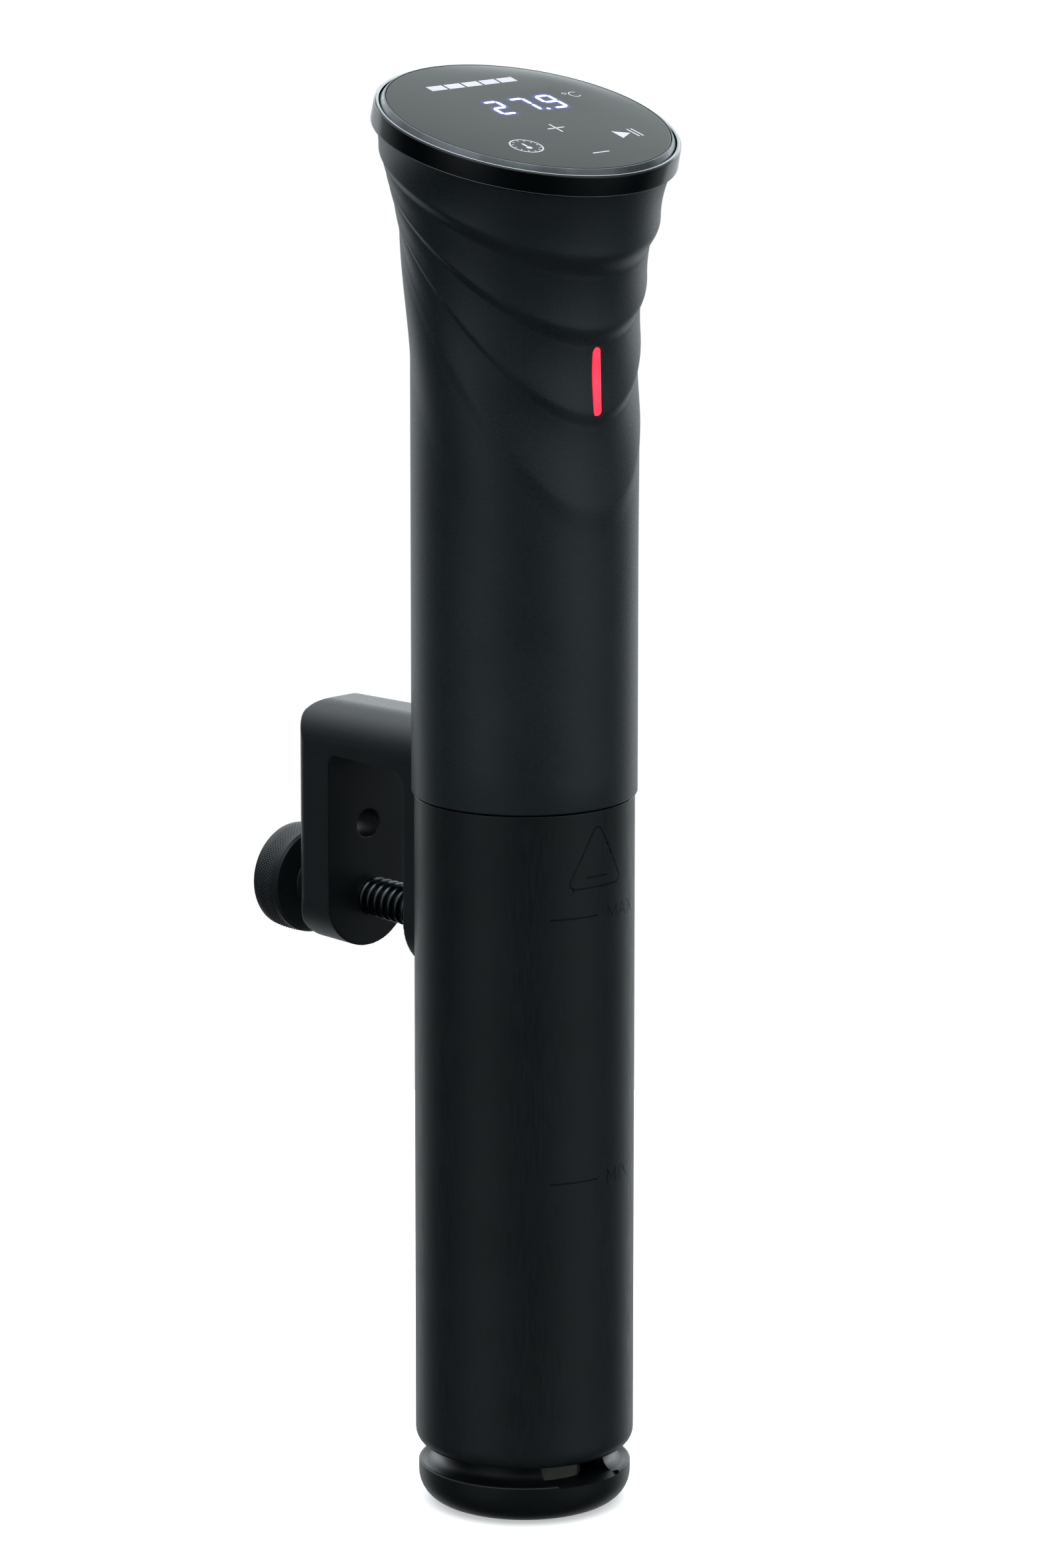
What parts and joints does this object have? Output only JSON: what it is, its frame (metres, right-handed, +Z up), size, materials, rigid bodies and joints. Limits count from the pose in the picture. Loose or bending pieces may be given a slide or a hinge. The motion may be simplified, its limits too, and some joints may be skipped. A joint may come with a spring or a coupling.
{
  "type": "sous vide circulator",
  "caption": "Stick immersion circulator with a tilted touch head, rippled housing, light bar, heater sleeve, twist-off base cap and a screw clamp for the pot rim",
  "frame": {"origin": "centre of the flat base, on the axis of the round stick", "axes": "+Z up along the stick; -Y front, towards the light bar and the low side of the touch panel; +Y the clamp side; +X to the right as the front is faced"},
  "size_m": [0.0812, 0.1374, 0.3849],
  "materials": {
    "housing": "soft-touch matte charcoal plastic",
    "sleeve": "fine satin black plastic",
    "bezel": "high-gloss black plastic",
    "trim": "dark satin anodised, fine brushed streaks",
    "glass": "smoked flat glass with printed controls",
    "light": "red light pipe, lit",
    "clamp": "satin black glass-filled plastic",
    "rubber": "matt black rubber",
    "steel": "plain steel",
    "spring_steel": "dark blued spring steel",
    "brass": "plain brass",
    "board": "green circuit board lacquer",
    "white_plastic": "natural white moulded plastic",
    "electronics": "black component plastic",
    "capacitor_sleeve": "dark blue shrink sleeve",
    "aluminium": "plain aluminium"
  },
  "bodies": {
    "root": {"upper_housing": "housing", "lower_sleeve": "sleeve", "bezel_ring": "bezel", "trim_ring": "trim", "glass_panel": "glass", "led_light_bar": "light", "clamp_bracket": "clamp", "cord_gland": "clamp", "seam_gasket": "rubber", "collar_o_ring": "rubber", "bulkhead_o_ring": "rubber", "shaft_seal": "rubber", "bracket_screw_lower": "steel", "bracket_screw_upper": "steel", "backing_plate": "steel", "head_screw_1": "steel", "head_screw_2": "steel", "head_screw_3": "steel", "board_screw_1": "steel", "board_screw_2": "steel", "motor": "steel", "heater_coil": "steel", "temperature_probe": "steel", "level_probe_long": "steel", "level_probe_short": "steel", "clamp_spring": "spring_steel", "touch_sensor_plus": "spring_steel", "touch_sensor_minus": "spring_steel", "touch_sensor_play": "spring_steel", "touch_sensor_dial": "spring_steel", "thread_insert": "brass", "lower_bearing": "brass", "transformer": "brass", "display_board": "board", "control_board": "board", "led_board": "board", "head_carrier": "white_plastic", "board_chassis": "white_plastic", "relay": "white_plastic", "gland_lock_nut": "white_plastic", "joining_collar": "white_plastic", "bulkhead": "white_plastic", "pump_plate": "white_plastic", "display_module": "electronics", "buzzer": "electronics", "motor_endcap": "electronics", "capacitor": "capacitor_sleeve", "heat_sink": "aluminium", "motor_mount": "aluminium"},
    "base_cap_body": {"base_cap": "sleeve"},
    "clamp_foot_body": {"clamp_foot": "clamp", "foot_pad": "rubber"},
    "clamp_screw_body": {"clamp_screw": "steel", "clamp_knob": "clamp"},
    "pump_body": {"motor_shaft": "steel", "shaft_coupling": "brass", "impeller_shaft": "steel", "impeller": "white_plastic"}
  },
  "joints": [
    {"name": "base_twist", "type": "hinge", "parent": "root", "child": "base_cap_body", "pos_m": [0, 0, 0.02], "axis": [0, 0, 1], "range_deg": [0, 25]},
    {"name": "clamp_travel", "type": "slide", "parent": "root", "child": "clamp_foot_body", "axis": [0, 1, 0], "range_m": [0, 0.008], "deforming": ["clamp_spring"]},
    {"name": "clamp_spin", "type": "hinge", "parent": "clamp_foot_body", "child": "clamp_screw_body", "pos_m": [0, 0.06, 0.1553], "axis": [0, 1, 0], "range_deg": [0, 2870]},
    {"name": "pump_spin", "type": "hinge", "parent": "root", "child": "pump_body", "pos_m": [0, 0, 0.06], "axis": [0, 0, 1], "continuous": true}
  ],
  "couplings": [
    {"joint": "clamp_travel", "follows": "clamp_spin", "m_per_rad": 0.00015915}
  ]
}
